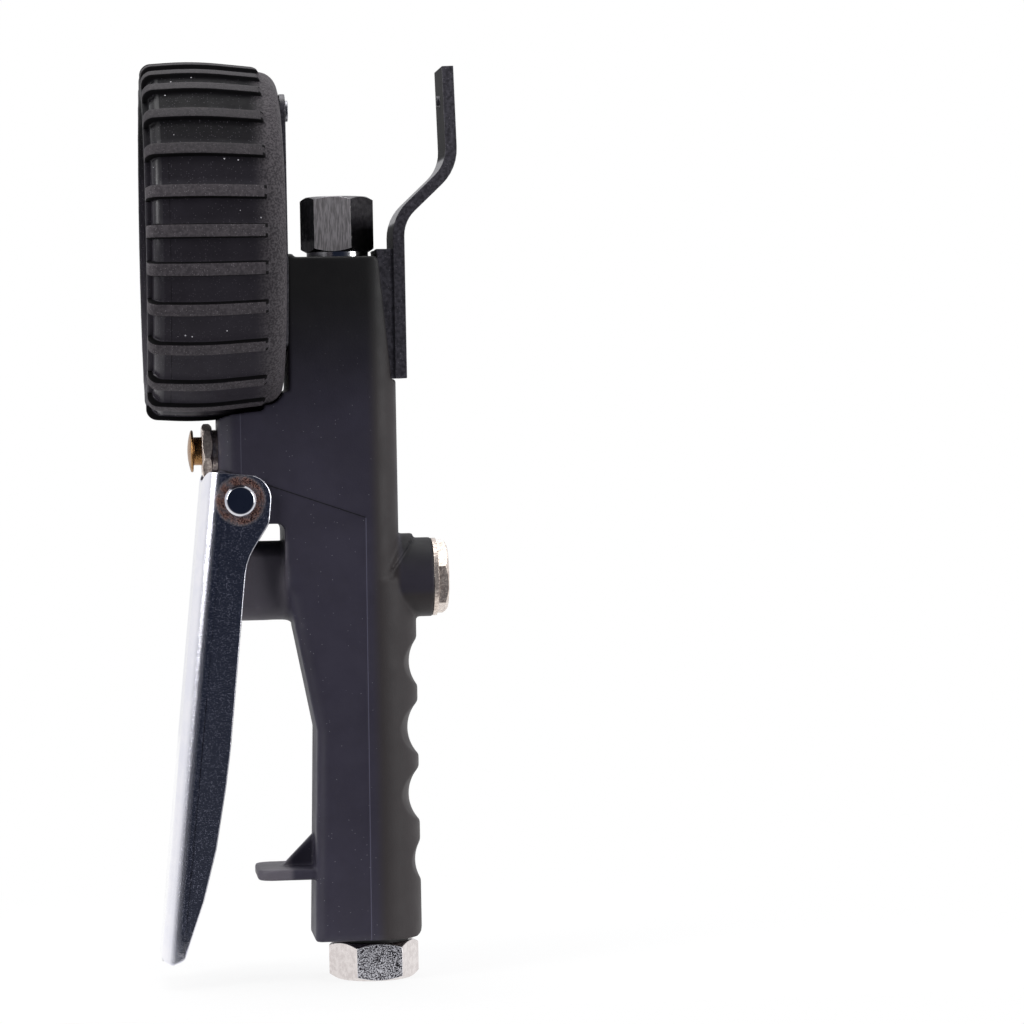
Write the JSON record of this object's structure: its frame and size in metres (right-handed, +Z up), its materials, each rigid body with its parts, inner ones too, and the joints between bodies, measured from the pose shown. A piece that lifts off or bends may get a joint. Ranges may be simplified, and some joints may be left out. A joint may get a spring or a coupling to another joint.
{
  "type": "tyre inflator gun",
  "caption": "Hand-held air-line tyre inflator gun with a finger-grooved grip, chrome squeeze lever, round dial gauge in a ribbed rubber boot, bleed button and hanging hook",
  "frame": {"origin": "centre of the inlet nut's mouth, at the foot of the grip", "axes": "+Z runs up the grip to the gauge, -X is the front with the lever and the dial, Y = 0 is the middle plane"},
  "size_m": [0.0832, 0.0954, 0.2449],
  "materials": {
    "body_black": "satin fine-textured coating",
    "chrome": "polished plating",
    "nickel": "satin nickel plating",
    "steel": "plain drawn steel",
    "dark_steel": "dark brushed steel",
    "black_steel": "black semi-gloss paint",
    "brass": "turned brass",
    "rubber": "matte moulded rubber",
    "case_steel": "black enamel",
    "dial_white": "matte white enamel",
    "lens_clear": "clear glass",
    "pointer_black": "matte black paint"
  },
  "bodies": {
    "gun": {"gun_body": "body_black", "inlet_fitting": "chrome", "inlet_seal": "rubber", "inlet_filter": "brass", "outlet_fitting": "dark_steel", "outlet_seal": "steel", "valve_plug": "nickel", "plug_seal": "rubber", "valve_seat": "brass", "valve_spring": "steel", "stem_gland": "brass", "stem_seal": "rubber", "lever_pin": "chrome", "retaining_clip": "steel", "bleed_valve_body": "nickel", "bleed_spring": "steel", "hook": "black_steel", "hook_block": "black_steel", "hook_screws": "dark_steel", "gauge_bracket": "black_steel", "bracket_screws": "steel", "gauge_screws": "steel", "gauge_boot": "rubber", "gauge_case": "case_steel", "gauge_bezel": "case_steel", "gauge_lens": "lens_clear", "lens_gasket": "rubber", "gauge_dial": "dial_white", "gauge_socket": "brass", "bourdon_tube": "brass", "movement_frame": "brass", "hairspring": "steel"},
    "lever": {"lever": "chrome"},
    "push_rod": {"valve_stem": "steel", "valve_pad": "rubber"},
    "bleed": {"bleed_button": "brass", "bleed_poppet": "rubber"},
    "sector": {"sector_gear": "brass"},
    "pointer": {"gauge_pointer": "pointer_black"},
    "link": {"tube_link": "steel"}
  },
  "joints": [
    {"name": "lever_squeeze", "type": "hinge", "parent": "gun", "child": "lever", "pos_m": [-0.034, 0, 0.1286], "axis": [0, -1, 0], "range_deg": [0, 12], "stiffness_Nm_per_rad": 3, "springref_deg": -17.19},
    {"name": "push_rod_slide", "type": "slide", "parent": "gun", "child": "push_rod", "axis": [1, 0, 0], "range_m": [0, 0.0046], "deforming": ["valve_spring"]},
    {"name": "bleed_press", "type": "slide", "parent": "gun", "child": "bleed", "axis": [1, 0, 0], "range_m": [0, 0.0019], "stiffness_N_per_m": 400, "springref_m": -0.005, "deforming": ["bleed_spring"]},
    {"name": "sector_swing", "type": "hinge", "parent": "gun", "child": "sector", "pos_m": [-0.0404, 0, 0.17503], "axis": [-1, 0, 0], "range_deg": [0, 27], "stiffness_Nm_per_rad": 0.02, "springref_deg": -5.73},
    {"name": "pointer_turn", "type": "hinge", "parent": "gun", "child": "pointer", "pos_m": [-0.0404, 0, 0.19711], "axis": [1, 0, 0], "range_deg": [0, 270], "deforming": ["hairspring"]},
    {"name": "link_swing", "type": "hinge", "parent": "sector", "child": "link", "pos_m": [-0.0392, 0.00224, 0.16632], "axis": [-1, 0, 0], "range_deg": [-27, 0]}
  ],
  "couplings": [
    {"joint": "push_rod_slide", "follows": "lever_squeeze", "m_per_rad": 0.0218},
    {"joint": "pointer_turn", "follows": "sector_swing", "ratio": 10},
    {"joint": "link_swing", "follows": "sector_swing", "ratio": -1}
  ]
}
